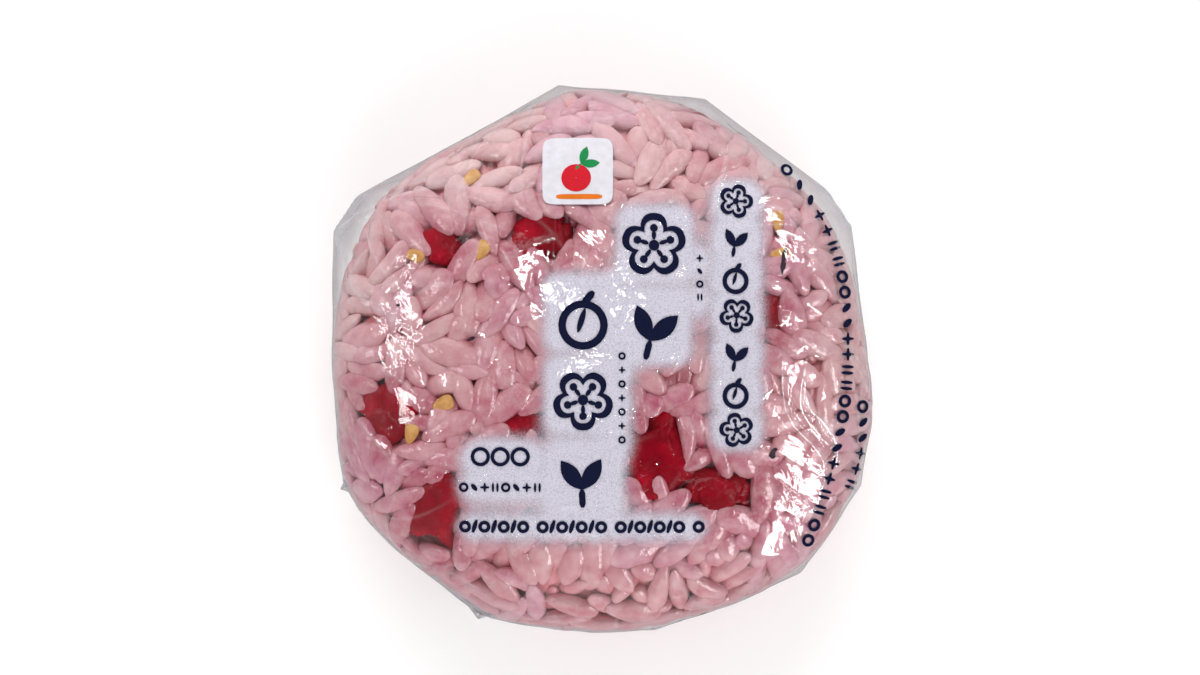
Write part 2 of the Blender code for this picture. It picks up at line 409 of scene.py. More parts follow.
# The film: how many cells across each half, its gap outside the form, and how it sinks between grains.
filmLook = {"cells": 216, "clear": 0.14, "floor": 0.03, "sink": 0.26, "sinkReach": 0.7, "relax": 80,
            "overGrains": 0.15, "planeTurns": 60, "planeRings": 26}
# How hazy it is where it stands off the form by so many millimetres, beyond the rice's rim, and on folds.
filmHaze = {"tight": 0.02, "loose": 0.1, "looseFrom": 0.8, "looseOver": 1.9, "beyond": 0.3, "beyondOver": 2.6,
            "beyondPower": 1.5, "crease": 0.3, "pleat": 0.12}
# Corners where folds hold the film off the rice, in millimetres, as in the CAD solid: x, y and height.
filmCorners = np.array([
    (-37.4, 18.0, 12.0), (-34.0, 22.6, 15.0), (-6.0, 38.2, 12.0), (14.5, 36.2, 13.0), (31.5, 23.6, 13.0),
    (34.9, 18.6, 12.0), (38.0, -8.5, 12.0), (36.4, -17.8, 10.0), (28.1, -30.1, 8.0), (7.5, -38.2, 8.0),
    (-17.6, -36.0, 5.5), (-36.4, -17.4, 8.0)])
filmCorners[:, 0] += cadBox[1][0] / mm - filmCorners[:, 0].max()
# Creases: how many fan out of each corner and lie loose on top, their heights, widths and lengths in mm.
creaseLook = {"fan": 4, "fanHeight": 0.2, "loose": 40, "looseHeight": 0.1, "width": 0.45, "valley": 0.55,
              "wander": 0.5, "tallest": 0.3}
# Creases that the photograph shows, from pixel to pixel, and their height in millimetres.
shownCreases = [((345, 245), (424, 338), 0.3), ((352, 392), (404, 470), 0.22), ((362, 362), (432, 402), 0.22),
                ((760, 330), (806, 560), 0.26), ((742, 420), (800, 372), 0.2), ((772, 196), (828, 268), 0.24),
                ((498, 262), (566, 240), 0.16), ((568, 240), (612, 300), 0.2), ((408, 300), (452, 282), 0.2),
                ((640, 560), (748, 600), 0.18), ((420, 560), (520, 606), 0.2), ((690, 118), (760, 150), 0.2),
                ((846, 330), (852, 470), 0.26), ((800, 520), (846, 470), 0.24), ((440, 170), (520, 118), 0.2),
                ((816, 380), (826, 488), 0.3), ((800, 336), (818, 470), 0.2)]
pleatLook = {"count": 29, "height": 0.6, "bottomHeight": 0.5}


# A square grid laid on a disc: squares round the middle become circles. Gives each point's share of the way
# to the rim, and its angle.
def squareOnDisc(cells):
    side = np.linspace(-1, 1, cells + 1)
    a, b = np.meshgrid(side, side)
    wide = np.abs(a) >= np.abs(b)
    reach = np.where(wide, a, b)
    safe = np.where(np.abs(reach) < 1e-9, 1e-9, reach)
    angle = np.where(wide, np.pi / 4 * b / safe, np.pi / 2 - np.pi / 4 * a / safe)
    return np.abs(reach), np.arctan2(reach * np.sin(angle), reach * np.cos(angle))


# Directions over a whole closed bag, as two discs that share a rim, evenly spaced along the form, with the
# quads that join them.
def bagGrid(cells):
    polar = np.linspace(0, np.pi / 2, 400)
    ways = directionsAt(polar, 0.0)
    profile = ways * formReach(ways, 0.0)[:, None]
    arc = np.concatenate([[0], np.cumsum(np.linalg.norm(np.diff(profile, axis=0), axis=1))])
    share, turn = squareOnDisc(cells)
    fall = np.interp(share * arc[-1], arc, polar)
    top = directionsAt(fall, turn)
    index = np.arange((cells + 1) ** 2).reshape(cells + 1, cells + 1)
    inner = np.zeros_like(index, dtype=bool)
    inner[1:-1, 1:-1] = True
    under = np.where(inner, 0, index)
    under[inner] = index.size + np.arange(inner.sum())
    directions = np.concatenate([top.reshape(-1, 3), (top * [1, 1, -1])[inner]])
    return directions, np.concatenate([gridQuads(index, True), gridQuads(under, True)[:, ::-1]])


# The planes of the convex hull of the form and the film corners: each one's normal and its distance from the
# form's middle.
def hullPlanes():
    polar = (np.arange(filmLook["planeRings"]) + 0.5) / filmLook["planeRings"] * np.pi
    turn = np.arange(filmLook["planeTurns"]) / filmLook["planeTurns"] * 2 * np.pi
    polar, turn = [grid.ravel() for grid in np.meshgrid(polar, turn)]
    ways = directionsAt(polar, turn)
    reach = formReach(ways, -filmLook["clear"])
    middle = np.array([0, 0, riceForm["middleHeight"]])
    body = aboveFloor(ways * reach[:, None] + middle, middle)
    bm = bmesh.new()
    for point in np.concatenate([body, filmCorners]):
        bm.verts.new(point)
    bmesh.ops.convex_hull(bm, input=bm.verts)
    bm.normal_update()
    normals = np.array([face.normal[:] for face in bm.faces])
    onPlane = np.array([face.verts[0].co[:] for face in bm.faces])
    bm.free()
    offsets = np.sum(normals * (onPlane - middle), axis=1)
    flip = np.sign(offsets)
    return normals * flip[:, None], offsets * flip


# Points under the floor are drawn back towards the middle until they are on it.
def aboveFloor(points, middle):
    drop = middle[2] - filmLook["floor"]
    share = drop / np.maximum(middle[2] - points[:, 2], 1e-9)
    low = points[:, 2] < filmLook["floor"]
    return np.where(low[:, None], middle + (points - middle) * share[:, None], points)


# How far the drawn film reaches: the nearest of the hull's planes, or the form where that is further out.
def bagReach(directions):
    normals, offsets = hullPlanes()
    reach = np.empty(len(directions))
    for part in np.array_split(np.arange(len(directions)), 30):
        facing = (directions[part] @ normals.T).astype(np.float32)
        reach[part] = 1 / np.max(facing / offsets.astype(np.float32), axis=1)
    tight = formReach(directions, -filmLook["clear"])
    return np.maximum(reach, tight), tight


# Each point's normal: the sum of the normals of the quads round it.
def outwardNormals(points, quads):
    across = points[quads[:, 2]] - points[quads[:, 0]]
    along = points[quads[:, 3]] - points[quads[:, 1]]
    faceNormal = np.cross(across, along)
    total = [np.bincount(quads.ravel(), np.repeat(faceNormal[:, k], 4), len(points)) for k in range(3)]
    return unit(np.stack(total, axis=1))


# The mean of the values at the far ends of each point's edges.
def neighbourMean(values, quads, degree):
    total = np.zeros(len(values))
    for a in range(4):
        ends = values[quads[:, (a + 1) % 4]] + values[quads[:, a - 1]]
        total += np.bincount(quads[:, a], ends, len(values))
    return total / degree


# Where a Shrinkwrap puts each point of a piece on the target, in metres: back along the piece's normals, or
# straight down.
def shrunkPoints(piece, target, straightDown):
    wrap = piece.modifiers.new("wrap", "SHRINKWRAP")
    wrap.target = target
    wrap.wrap_method = "PROJECT"
    wrap.use_project_z = straightDown
    wrap.use_negative_direction = True
    wrap.use_positive_direction = False
    shaped = piece.evaluated_get(bpy.context.evaluated_depsgraph_get()).data
    co = np.empty(len(shaped.vertices) * 3, dtype=np.float32)
    shaped.vertices.foreach_get("co", co)
    piece.modifiers.clear()
    return co.reshape(-1, 3)


# How deep the contents lie under each film point.
def depthOf(points, quads, target):
    probe = newMesh("probe", points, [quads], bpy.data.materials.new("probe"))
    moved = shrunkPoints(probe, target, False) / mm
    bpy.data.objects.remove(probe)
    return np.linalg.norm(moved - points, axis=1)


# A crease lies where the plane through its two ends and the middle cuts the film. At x from that plane its
# height is h (exp(-x / w) - v exp(-x / 4w)), and it fades to its ends as 1 - t squared. The distance to the
# nearest crease and its strength are given too, from which the film's material draws its fine line.
def creaseField(points, ends, heights):
    c = creaseLook
    total = np.zeros(len(points))
    nearest, strength = np.full(len(points), 9.0), np.zeros(len(points))
    wander = np.stack([lumps(points, 16, 40 + k) for k in range(3)], axis=1) * c["wander"]
    strayed = points + wander
    way = unit(points)
    for (start, end), height in zip(ends, heights):
        across = unit(np.cross(start, end))
        middle, along = unit(start + end), end - start
        t = (way @ unit(along)) / (np.linalg.norm(along) / 2)
        x = strayed @ across
        fade = np.where(way @ middle > 0, 1 - t * t, 0).clip(0, 1)
        soft = np.sqrt(x ** 2 + 0.02)
        total += height * fade * (np.exp(-soft / c["width"]) - c["valley"] * np.exp(-soft / (4 * c["width"])))
        closer = (np.abs(x) < np.abs(nearest)) & (fade > 0.02)
        nearest = np.where(closer, x, nearest)
        strength = np.where(closer, height / c["tallest"] * fade, strength)
    return total, nearest.clip(-3, 3), strength


# Ends of all the creases as directions from the middle, with their heights.
def creaseEnds(middle):
    c = creaseLook
    draw = np.random.default_rng(21)
    ends, heights = [], []
    for corner in filmCorners:
        start = unit(corner - middle)
        tangent = unit(np.cross([0, 0, 1.0], start))
        for spread in np.linspace(-1, 1, c["fan"]) + draw.uniform(-0.2, 0.2, c["fan"]):
            length = draw.uniform(0.3, 0.75)
            aim = unit(start * math.cos(length) + (unit(np.array([0, 0, 1.0]) - start * start[2])
                       + tangent * spread * 1.1) * math.sin(length))
            ends.append((start, aim))
            heights.append(c["fanHeight"] * draw.uniform(0.5, 1.3))
    for _ in range(c["loose"]):
        radius, turn = 36 * math.sqrt(draw.uniform(0.02, 1)), draw.uniform(0, 2 * math.pi)
        place = np.array([radius * math.cos(turn), radius * math.sin(turn), 30.0])
        turn, length = draw.uniform(0, math.pi), draw.uniform(4, 13)
        step = np.array([math.cos(turn), math.sin(turn), 0]) * length / 2
        ends.append((unit(place - step - middle), unit(place + step - middle)))
        heights.append(c["looseHeight"] * draw.uniform(0.4, 1.4))
    for first, second, height in shownCreases:
        ends.append(tuple(unit(pixelOnForm(*pixel, 0.0) - middle) for pixel in (first, second)))
        heights.append(height)
    return ends, heights


# Pleats under the rim: height (1 - |2 f - 1|)^0.8 with f the share of a pleat turned through, and their turns
# uneven. On the flat underside they lift the film instead, so that nothing goes below the floor.
def pleatOffset(directions):
    turn = np.arctan2(directions[:, 1], directions[:, 0])
    count = pleatLook["count"]
    share = (count * turn + 2.2 * np.sin(3 * turn + 1) + 1.4 * np.sin(7 * turn + 2)) / (2 * np.pi) % 1
    share = np.where(share < 0.7, share / 0.7 * 0.5, 0.5 + (share - 0.7) / 0.6)
    ridge = (1 - np.abs(2 * share - 1)).clip(0, 1) ** 0.8
    fall = np.degrees(np.arccos(directions[:, 2].clip(-1, 1)))
    below = ((fall - 98) / 16).clip(0, 1)
    below = below * below * (3 - 2 * below)
    flat = ((fall - 124) / 6).clip(0, 1)
    height = pleatLook["height"] * (1 - flat) + pleatLook["bottomHeight"] * flat
    return ridge * height * below * (1 - flat), ridge * height * below * flat, below * ridge


# The bag: drawn between the form and the corners, sunk a little between grains, creased and pleated. Its haze
# is the sum of a share of its gap to the form, a ramp of that gap, a ramp beyond the rim and its folds.
def makeFilm(target, material):
    f, hazy = filmLook, filmHaze
    middle = np.array([0, 0, riceForm["middleHeight"]])
    directions, quads = bagGrid(f["cells"])
    reach, tight = bagReach(directions)
    points = aboveFloor(directions * reach[:, None] + middle, middle)
    normals = outwardNormals(points, quads)
    standoff = reach - tight
    depth = depthOf(points, quads, target)
    degree = np.bincount(quads.ravel(), minlength=len(points)) * 2.0
    flat = points[:, 2] < f["floor"] + 0.05
    room = f["sink"] * np.exp(-(standoff / f["sinkReach"]) ** 2) * np.where(flat, 0.3, 1)
    sunk = np.minimum(depth - f["overGrains"], room).clip(0, None)
    limit = sunk.copy()
    for _ in range(f["relax"]):
        sunk = np.minimum(limit, neighbourMean(sunk, quads, degree))
    report(f"film sinks {sunk.mean():.2f} mm between grains on average, {sunk.max():.2f} mm at most")
    creased, across, strength = creaseField(points - middle, *creaseEnds(middle))
    pleatOut, pleatUp, pleatShade = pleatOffset(directions)
    offset = -sunk + np.where(flat, 0, creased + pleatOut)
    points = points + normals * offset[:, None]
    points[:, 2] = np.maximum(points[:, 2], f["floor"]) + np.where(flat, pleatUp, 0)
    film = newMesh("film", points, [quads], material)
    rho = np.hypot(points[:, 0], points[:, 1])
    beyond = ((rho - rimRadius(points[:, 0], points[:, 1], 0.3)) / hazy["beyondOver"]).clip(0, 1)
    loose = ((standoff - hazy["looseFrom"]) / hazy["looseOver"]).clip(0, 1)
    haze = (hazy["tight"] * standoff.clip(0, 1) + hazy["loose"] * loose
            + hazy["beyond"] * beyond ** hazy["beyondPower"] + hazy["crease"] * creased.clip(0, 0.3)
            + hazy["pleat"] * pleatShade)
    setAttribute(film, "haze", haze)
    setAttribute(film, "creaseAcross", across)
    setAttribute(film, "creaseStrength", strength)
    return film, points, quads


# White ink in pixels: rows of cells with their first and last middles, how many there are, and half their
# width and height. Every cell is a rounded block, and they flow together.
whiteCells = [((737, 200), (737, 430), 7, 29, 24), ((655, 244), (653, 326), 2, 42, 43),
              ((584, 312), (584, 478), 3, 44, 43), ((700, 262), (699, 300), 2, 12, 20),
              ((620, 372), (620, 440), 3, 12, 20), ((480, 458), (524, 458), 3, 22, 20),
              ((474, 487), (534, 487), 4, 18, 17), ((474, 527), (692, 527), 10, 18, 16)]
# How soft and round it is, how far the cells flow, how white it is, how far it lies under the film's own
# surface, and how far below the middle's height it may reach.
inkLook = {"soft": 22.0, "round": 20.0, "flow": 7.0, "strength": 0.95, "under": 0.06, "below": 4.0}


# How white the ink is at each pixel: with d the distance to each cell, -k log(sum of exp(-d / k)) is the
# distance to them all, and the ink fades over its soft edge there.
def fieldStrength(px, py):
    soft, corner, flow = inkLook["soft"], inkLook["round"], inkLook["flow"]
    near = np.full(px.shape, 1e-9)
    for first, last, count, halfWide, halfHigh in whiteCells:
        for share in np.linspace(0, 1, count):
            x, y = [a + (b - a) * share for a, b in zip(first, last)]
            dx = np.maximum(np.abs(px - x) - halfWide + corner, 0)
            dy = np.maximum(np.abs(py - y) - halfHigh + corner, 0)
            near += np.exp((corner - np.hypot(dx, dy)).clip(-60, 60) / flow)
    inside = (0.5 + flow * np.log(near) / soft).clip(0, 1)
    return inkLook["strength"] * inside * inside * (3 - 2 * inside)


# The pixel of the photograph at which each point shows.
def pixelsOf(points):
    focal = photo["pixelsPerMm"] * photo["cameraDistance"]
    eye = pixelPoint(photo["width"] / 2, photo["height"] / 2, photo["rimHeight"])
    depth = photo["cameraDistance"] + photo["rimHeight"] - points[:, 2]
    return (photo["width"] / 2 + (points[:, 0] - eye[0]) * focal / depth,
            photo["height"] / 2 - (points[:, 1] - eye[1]) * focal / depth)


# The film's own cells where the ink is, drawn in under it by the ink's gap.
def makeWhiteInk(points, quads, material):
    px, py = pixelsOf(points)
    high = points[:, 2] > riceForm["middleHeight"] - inkLook["below"]
    strength = np.where(high, fieldStrength(px, py), 0)
    inner = points - outwardNormals(points, quads) * inkLook["under"]
    kept = quads[strength[quads].max(axis=1) > 0.01]
    used, again = np.unique(kept, return_inverse=True)
    ink = newMesh("ink_white", inner[used], [again.reshape(-1, 4)], material)
    setAttribute(ink, "strength", strength[used])
    return ink


# A filled oval: radius times u along the angle v.
def dotPatch(px, py, wide, high, turn=0.0):
    u, v = np.meshgrid(np.linspace(0.02, 1, 5), np.linspace(0, 2 * np.pi, 25), indexing="ij")
    return turnedPatch(px, py, u * wide / 2 * np.cos(v), u * high / 2 * np.sin(v), turn)


# An outline: radius (1 - notch (1 - |cos(petals v / 2)|)^1.4) round the angle v, with a stroke's width.
def ringPatch(px, py, radius, stroke, petals=0, notch=0.0, turn=0.0):
    steps = 25 if petals == 0 else petals * 14 + 1
    u, v = np.meshgrid(np.linspace(-0.5, 0.5, 3), np.linspace(0, 2 * np.pi, steps), indexing="ij")
    wave = 1 - notch * (1 - np.abs(np.cos(petals * v / 2))) ** 1.4 if petals else 1.0
    r = radius * wave + u * stroke
    return turnedPatch(px, py, r * np.cos(v), r * np.sin(v), turn)


# A straight stroke from one pixel to another, thinner to its ends by the pinch.
def dashPatch(x0, y0, x1, y1, stroke, pinch=0.0):
    length = math.hypot(x1 - x0, y1 - y0)
    u, v = np.meshgrid(np.linspace(-0.5, 0.5, 3), np.linspace(0, 1, max(4, int(length / 3))), indexing="ij")
    width = stroke * (1 - pinch * (2 * v - 1) ** 2) * np.sqrt(1 - (2 * v - 1) ** 8 * 0.75)
    ex, ey = (x1 - x0) / length, (y1 - y0) / length
    return x0 + ex * length * v - ey * width * u, y0 + ey * length * v + ex * width * u


def turnedPatch(px, py, x, y, turn):
    c, s = math.cos(math.radians(turn)), math.sin(math.radians(turn))
    return px + x * c - y * s, py + x * s + y * c


# Patches of pixels become flat meshes above the film, and a Shrinkwrap drops them on it, less the gap under.
def layOnFilm(name, patches, film, material, under):
    points, faces, start = [], [], 0
    height = riceForm["middleHeight"] + riceForm["halfHeight"]
    for px, py in patches:
        flat = pixelPoint(px.ravel(), py.ravel(), height)
        points.append(np.stack([flat[0], flat[1], np.full(px.size, height + 8.0)], axis=1))
        faces.append(gridQuads(start + np.arange(px.size).reshape(px.shape)))
        start += px.size
    points, faces = np.concatenate(points), np.concatenate(faces)
    a, b, c = points[faces[:, 0]], points[faces[:, 1]], points[faces[:, 2]]
    down = np.cross(b - a, c - a)[:, 2] < 0
    faces[down] = faces[down][:, ::-1]
    ink = newMesh(name, points, [faces], material)
    laid = shrunkPoints(ink, film, True)
    laid[:, 2] -= under * mm
    ink.data.vertices.foreach_set("co", laid.ravel())
    ink.data.update()
    return ink


# A node with its settings, and its inputs set to a value or joined to another node's output.
def addNode(tree, kind, inputs=None, **settings):
    made = tree.nodes.new(kind)
    for name, value in settings.items():
        setattr(made, name, value)
    for name, value in (inputs or {}).items():
        if isinstance(value, bpy.types.NodeSocket):
            tree.links.new(value, made.inputs[name])
        else:
            made.inputs[name].default_value = value
    return made


def newMaterial(name):
    made = bpy.data.materials.new(name)
    made.use_nodes = True
    made.node_tree.nodes.clear()
    return made, made.node_tree


# The shader of a whole material.
def finishShader(tree, inputs):
    shader = addNode(tree, "ShaderNodeBsdfPrincipled", inputs)
    addNode(tree, "ShaderNodeOutputMaterial", {"Surface": shader.outputs["BSDF"]})


def readAttribute(tree, name, output="Fac"):
    return addNode(tree, "ShaderNodeAttribute", attribute_name=name).outputs[output]


def objectPlace(tree):
    return addNode(tree, "ShaderNodeTexCoord").outputs["Object"]


def mathNode(tree, operation, *values, clamp=False):
    made = addNode(tree, "ShaderNodeMath", dict(enumerate(values)), operation=operation, use_clamp=clamp)
    return made.outputs[0]


# Shared by everything moist: clouds and fine pits in object space. Clouds goes to colours, and the pits go to
# the normal.
def moistGroup():
    tree = bpy.data.node_groups.new("moistFlesh", "ShaderNodeTree")
    for name, default in (("Cloud Scale", 250.0), ("Pit Scale", 1400.0), ("Pit Depth", 0.0001)):
        tree.interface.new_socket(name, in_out="INPUT", socket_type="NodeSocketFloat").default_value = default
    tree.interface.new_socket("Clouds", in_out="OUTPUT", socket_type="NodeSocketFloat")
    tree.interface.new_socket("Normal", in_out="OUTPUT", socket_type="NodeSocketVector")
    given = addNode(tree, "NodeGroupInput")
    place = objectPlace(tree)
    clouds = addNode(tree, "ShaderNodeTexNoise", {"Vector": place, "Scale": given.outputs["Cloud Scale"],
                                                  "Detail": 3.0, "Roughness": 0.55})
    pits = addNode(tree, "ShaderNodeTexNoise", {"Vector": place, "Scale": given.outputs["Pit Scale"],
                                                "Detail": 2.0})
    bump = addNode(tree, "ShaderNodeBump", {
        "Height": pits.outputs["Fac"], "Distance": given.outputs["Pit Depth"], "Strength": 0.6})
    wide = addNode(tree, "ShaderNodeMapRange", {
        "Value": clouds.outputs["Fac"], "From Min": 0.3, "From Max": 0.7})
    addNode(tree, "NodeGroupOutput", {"Clouds": wide.outputs["Result"], "Normal": bump.outputs["Normal"]})
    return tree


# A mix of two colours by a share, each a value or another node's output.
def blend(tree, share, first, second):
    return addNode(tree, "ShaderNodeMix", {0: share, 6: first, 7: second}, data_type="RGBA").outputs[2]


# Each food's finish: the scales of its clouds and pits, the depth of the pits in metres, how far the clouds
# take its first colour towards the second, and its gloss. Without a first colour it has its own tint.
riceFinish = {"clouds": 480.0, "pits": 1500.0, "pitDepth": 0.0002, "reach": 0.42,
              "second": (0.88, 0.65, 0.64, 1),
              "gloss": {"Roughness": 0.19, "Specular IOR Level": 0.2, "Sheen Weight": 0.3,
                        "Sheen Roughness": 0.35, "Sheen Tint": (1.0, 0.74, 0.74, 1)}}
fruitFinish = {"clouds": 330.0, "pits": 1100.0, "pitDepth": 0.0003, "reach": 1.0,
               "second": (0.22, 0.001, 0.008, 1), "gloss": {"Roughness": 0.3, "Specular IOR Level": 0.03}}
seedFinish = {"clouds": 700.0, "pits": 2600.0, "pitDepth": 0.00012, "reach": 1.0,
              "first": (0.60, 0.27, 0.07, 1), "second": (0.80, 0.47, 0.17, 1),
              "gloss": {"Roughness": 0.38, "Specular IOR Level": 0.08}}
leafFinish = {"clouds": 900.0, "pits": 3000.0, "pitDepth": 0.00015, "reach": 1.0,
              "first": (0.012, 0.008, 0.016, 1), "second": (0.06, 0.02, 0.045, 1),
              "gloss": {"Roughness": 0.5, "Specular IOR Level": 0.05}}


def foodMaterial(name, group, look):
    made, tree = newMaterial(name)
    flesh = addNode(tree, "ShaderNodeGroup", {"Cloud Scale": look["clouds"], "Pit Scale": look["pits"],
                                              "Pit Depth": look["pitDepth"]}, node_tree=group)
    share = addNode(tree, "ShaderNodeMapRange", {"Value": flesh.outputs["Clouds"], "To Max": look["reach"]})
    first = look.get("first") or readAttribute(tree, "tint", "Color")
    colour = blend(tree, share.outputs["Result"], first, look["second"])
    finishShader(tree, {"Base Color": colour, "Normal": flesh.outputs["Normal"], **look["gloss"]})
    return made


# The film's finish: scales of its ripples and crumples, depths of these and of folds in metres, how narrow
# and hazy a fold is, what passes where it is clear, hazy and seen edge-on, the milk of its haze and the white
# painted on fold lines as a highlight, and its mirror, least and most.
filmFinish = {"ripples": 210.0, "warp": 0.004, "crumples": 130.0, "crumpleDepth": 0.0005,
              "rippleDepth": 0.0005, "foldDepth": 0.00008, "foldNarrow": 14.0, "foldHaze": 0.2,
              "clear": (0.97, 0.97, 0.975, 1), "hazy": (0.47, 0.485, 0.505, 1),
              "edge": (0.46, 0.46, 0.475, 1), "edgePower": 1.6,
              "milk": (0.45, 0.46, 0.48, 1), "foldHighlight": (0.95, 0.94, 0.95, 1), "milkRoughness": 0.45,
              "mirror": (0.95, 0.95, 0.96, 1), "mirrorRoughness": 0.045, "mirrorPower": 2.6,
              "mirrorLeast": 0.018, "mirrorMost": 0.32}


# Clear film: Transparent, hazed and greyer where it is folded, under a mirror that grows at low angles. Fold
# lines are painted white over that haze, a painted highlight along each crease besides the fold's own haze.
def filmMaterial():
    f = filmFinish
    made, tree = newMaterial("clear_film")
    place = objectPlace(tree)
    ripple = addNode(tree, "ShaderNodeTexNoise", {"Vector": place, "Scale": f["ripples"], "Detail": 3.0,
                                                  "Roughness": 0.5, "Distortion": 0.6})
    warp = addNode(tree, "ShaderNodeVectorMath", {0: ripple.outputs["Color"], 1: (f["warp"],) * 3},
                   operation="MULTIPLY").outputs[0]
    bent = addNode(tree, "ShaderNodeVectorMath", {0: place, 1: warp}, operation="ADD").outputs[0]
    facets = addNode(tree, "ShaderNodeTexVoronoi", {"Vector": bent, "Scale": f["crumples"]})
    crumple = addNode(tree, "ShaderNodeBump", {
        "Height": facets.outputs["Distance"], "Distance": f["crumpleDepth"], "Strength": 1.0})
    wavy = addNode(tree, "ShaderNodeBump", {
        "Height": ripple.outputs["Fac"], "Distance": f["rippleDepth"], "Strength": 0.6,
        "Normal": crumple.outputs["Normal"]})
    across = readAttribute(tree, "creaseAcross")
    square = mathNode(tree, "MULTIPLY", across, across)
    fold = mathNode(tree, "EXPONENT", mathNode(tree, "MULTIPLY", square, -f["foldNarrow"]))
    line = mathNode(tree, "MULTIPLY", fold, readAttribute(tree, "creaseStrength"), clamp=True)
    bump = addNode(tree, "ShaderNodeBump", {"Height": line, "Distance": f["foldDepth"], "Strength": 1.0,
                                            "Normal": wavy.outputs["Normal"]}).outputs["Normal"]
    haze = readAttribute(tree, "haze")
    # Fold lines get more milk and a white milk colour: partly the fold's own haze, partly a painted highlight
    # along each crease.
    hazy = mathNode(tree, "MULTIPLY_ADD", line, f["foldHaze"], haze, clamp=True)
    facing = addNode(tree, "ShaderNodeLayerWeight", {"Blend": 0.5, "Normal": bump}).outputs["Facing"]
    passed = blend(tree, mathNode(tree, "POWER", facing, f["edgePower"]),
                   blend(tree, haze, f["clear"], f["hazy"]), f["edge"])
    clear = addNode(tree, "ShaderNodeBsdfTransparent", {"Color": passed})
    milky = addNode(tree, "ShaderNodeBsdfPrincipled", {
        "Base Color": blend(tree, line, f["milk"], f["foldHighlight"]), "Roughness": f["milkRoughness"],
        "Normal": bump})
    hazed = addNode(tree, "ShaderNodeMixShader", {"Fac": hazy, 1: clear.outputs[0], 2: milky.outputs[0]})
    gloss = addNode(tree, "ShaderNodeBsdfPrincipled", {
        "Base Color": f["mirror"], "Metallic": 1.0, "Roughness": f["mirrorRoughness"], "Normal": bump})
    mirror = addNode(tree, "ShaderNodeMapRange", {
        "Value": mathNode(tree, "POWER", facing, f["mirrorPower"]), "To Min": f["mirrorLeast"],
        "To Max": f["mirrorMost"]})
    surface = addNode(tree, "ShaderNodeMixShader", {
        "Fac": mirror.outputs["Result"], 1: hazed.outputs[0], 2: gloss.outputs[0]})
    addNode(tree, "ShaderNodeOutputMaterial", {"Surface": surface.outputs[0]})
    return made


# White ink, whose soft edge breaks up into fine dots.
whiteInkFinish = {"colour": (0.82, 0.795, 0.9, 1), "roughness": 0.6, "dots": 4600.0, "stray": 0.2}


def whiteInkMaterial():
    look = whiteInkFinish
    made, tree = newMaterial("white_ink")
    dots = addNode(tree, "ShaderNodeTexNoise", {"Vector": objectPlace(tree), "Scale": look["dots"],
                                                "Detail": 1.0})
    strength = readAttribute(tree, "strength")
    stray = addNode(tree, "ShaderNodeMapRange", {
        "Value": dots.outputs["Fac"], "From Min": 0.3, "From Max": 0.7, "To Min": -look["stray"],
        "To Max": look["stray"]})
    edge = mathNode(tree, "ADD", strength, stray.outputs["Result"], clamp=True)
    alpha = mathNode(tree, "MULTIPLY", edge, strength, clamp=True)
    finishShader(tree, {"Base Color": look["colour"], "Roughness": look["roughness"],
                        "Specular IOR Level": 0.0, "Alpha": alpha})
    return made


# Solid ink, with the faint mottle of a printed film.
def inkMaterial(name, colour):
    made, tree = newMaterial(name)
    mottle = addNode(tree, "ShaderNodeTexNoise", {"Vector": objectPlace(tree), "Scale": 900.0, "Detail": 2.0})
    tone = blend(tree, mottle.outputs["Fac"], (*colour, 1), (*[c * 0.75 + 0.003 for c in colour], 1))
    finishShader(tree, {"Base Color": tone, "Roughness": 0.5, "Specular IOR Level": 0.0})
    return made


# Chunks of flesh: rounded blocks, whose x, y and z are a ball's to a power, pushed out and in by lumps and
# wrinkles.
def makeFruit(pieces, material):
    g = fruitLook
    u = np.linspace(-np.pi / 2, np.pi / 2, g["rings"])[:, None]
    v = np.linspace(0, 2 * np.pi, g["sides"], endpoint=False)[None, :]
    ball = np.stack([np.cos(u) * np.cos(v), np.cos(u) * np.sin(v), np.sin(u) + 0 * v], axis=-1)
    ball[0], ball[-1] = [0, 0, -1], [0, 0, 1]
    block = np.sign(ball) * np.abs(ball) ** g["box"]
    forms = []
    for index, (middle, axes, half) in enumerate(pieces):
        spot = ball * np.array(half)
        push = (1 + g["lump"] * lumps(spot + index * 9, g["lumpSize"], 60)
                + g["wrinkle"] * lumps(spot, g["wrinkleSize"], 61 + index))
        forms.append(middle + (block * np.array(half) * push[..., None]) @ np.array(axes))
    points = pressUnderFilm(np.array(forms).reshape(len(pieces), -1, 3))
    points, faces = closedForms(points, g["rings"], g["sides"])
    made = newMesh("fruit_pieces", points, faces, material)
    deep = (lumps(points, g["patchSize"], 70) * 0.35 + 0.45).clip(0, 1)[:, None]
    setAttribute(made, "tint", np.array([g["bright"]]) * (1 - deep) + np.array([g["dark"]]) * deep)
    return made


# Sesame seeds: teardrops, width (sin pi u)^e (1 - t cos pi u) at u along them, flat and a little domed.
def makeSeeds(places, material):
    g = seedLook
    u = np.linspace(0, 1, g["rings"] + 2)[:, None]
    v = np.linspace(0, 2 * np.pi, g["sides"], endpoint=False)[None, :]
    width = np.sin(np.pi * u).clip(0, 1) ** g["endPower"] * (1 - g["taper"] * np.cos(np.pi * u))
    local = np.stack([-g["length"] / 2 * np.cos(np.pi * u) + 0 * v, g["width"] / 2 * width * np.cos(v),
                      g["thickness"] / 2 * width * np.sin(v)], axis=-1)
    forms = [top - axes[2] * g["thickness"] / 2 + local @ np.array(axes) for top, axes in places]
    points, faces = closedForms(np.array(forms).reshape(len(places), -1, 3), g["rings"] + 2, g["sides"])
    return newMesh("sesame_seeds", points, faces, material)


